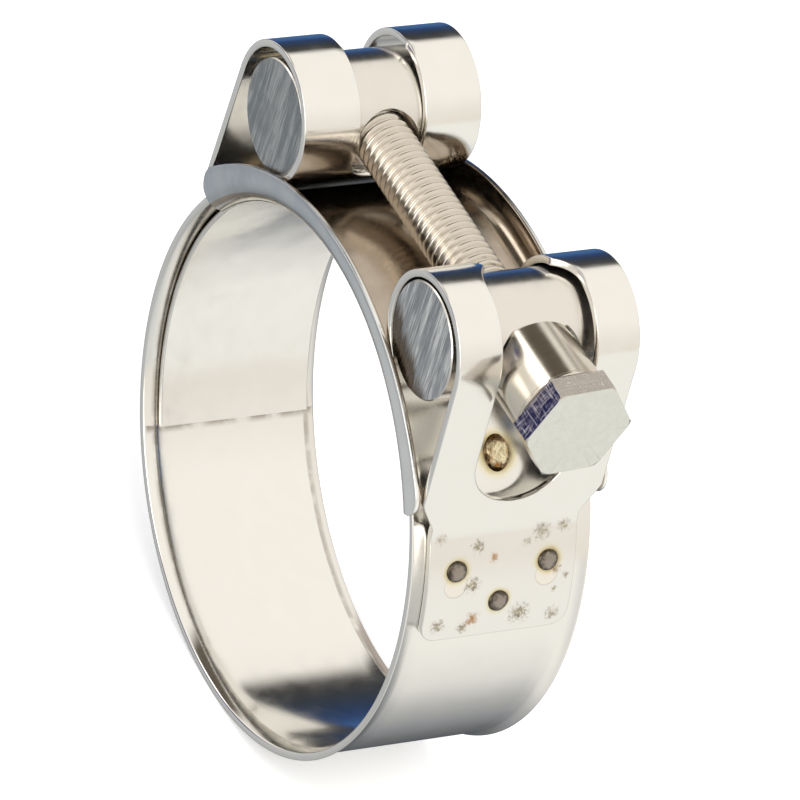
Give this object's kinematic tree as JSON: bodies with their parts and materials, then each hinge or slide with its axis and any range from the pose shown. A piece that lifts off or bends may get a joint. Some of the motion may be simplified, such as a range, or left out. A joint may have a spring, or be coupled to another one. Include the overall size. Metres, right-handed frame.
{
  "type": "bolt drive hose clamp",
  "caption": "Wide polished band clamp for a hose: looped band ends, inner bridge over the gap, cross bars and a hexagon bolt with spacer sleeve that closes it.",
  "frame": {"origin": "centre of the hose seat, on the hose axis at the middle of the band's width", "axes": "+Y along the hose axis, +Z towards the middle of the gap between the band's ends, +X towards the bolt's head"},
  "size_m": [0.0621, 0.0214, 0.0686],
  "materials": {
    "band_steel": "bright rolled stainless steel, nearly a mirror",
    "bar_steel": "turned and polished round bar with sawn ends",
    "bolt_steel": "bright plated steel with fine tool marks",
    "weld_metal": "dull dark weld metal with heat tint"
  },
  "bodies": {
    "head_end": {"band": "band_steel", "bridge": "band_steel", "head_tail_welds": "weld_metal", "head_root_weld": "weld_metal"},
    "nut_end": {"nut_tail_welds": "weld_metal", "nut_root_weld": "weld_metal"},
    "head_bar": {"head_bar": "bar_steel", "spacer_sleeve": "bolt_steel"},
    "nut_bar": {"nut_bar": "bar_steel"},
    "bolt": {"bolt": "bolt_steel"}
  },
  "joints": [
    {"name": "bolt_turn", "type": "hinge", "parent": "head_bar", "child": "bolt", "pos_m": [0.01735, 0, 0.0319], "axis": [-1, 0, 0], "range_deg": [0, 3240]},
    {"name": "head_bar_turn", "type": "hinge", "parent": "head_end", "child": "head_bar", "pos_m": [0.01735, 0, 0.0319], "axis": [0, 1, 0], "range_deg": [0, 4.25]},
    {"name": "closing", "type": "hinge", "parent": "head_end", "child": "nut_end", "pos_m": [0, 0, -0.0284], "axis": [0, 1, 0], "range_deg": [0, 8.46], "deforming": ["band", "bridge"]},
    {"name": "nut_bar_turn", "type": "hinge", "parent": "nut_end", "child": "nut_bar", "pos_m": [-0.01735, 0, 0.0319], "axis": [0, 1, 0], "range_deg": [-4.25, 0]}
  ],
  "couplings": [
    {"joint": "bolt_turn", "follows": "closing", "ratio": 382.98},
    {"joint": "head_bar_turn", "follows": "closing", "ratio": 0.5},
    {"joint": "nut_bar_turn", "follows": "closing", "ratio": -0.5}
  ]
}
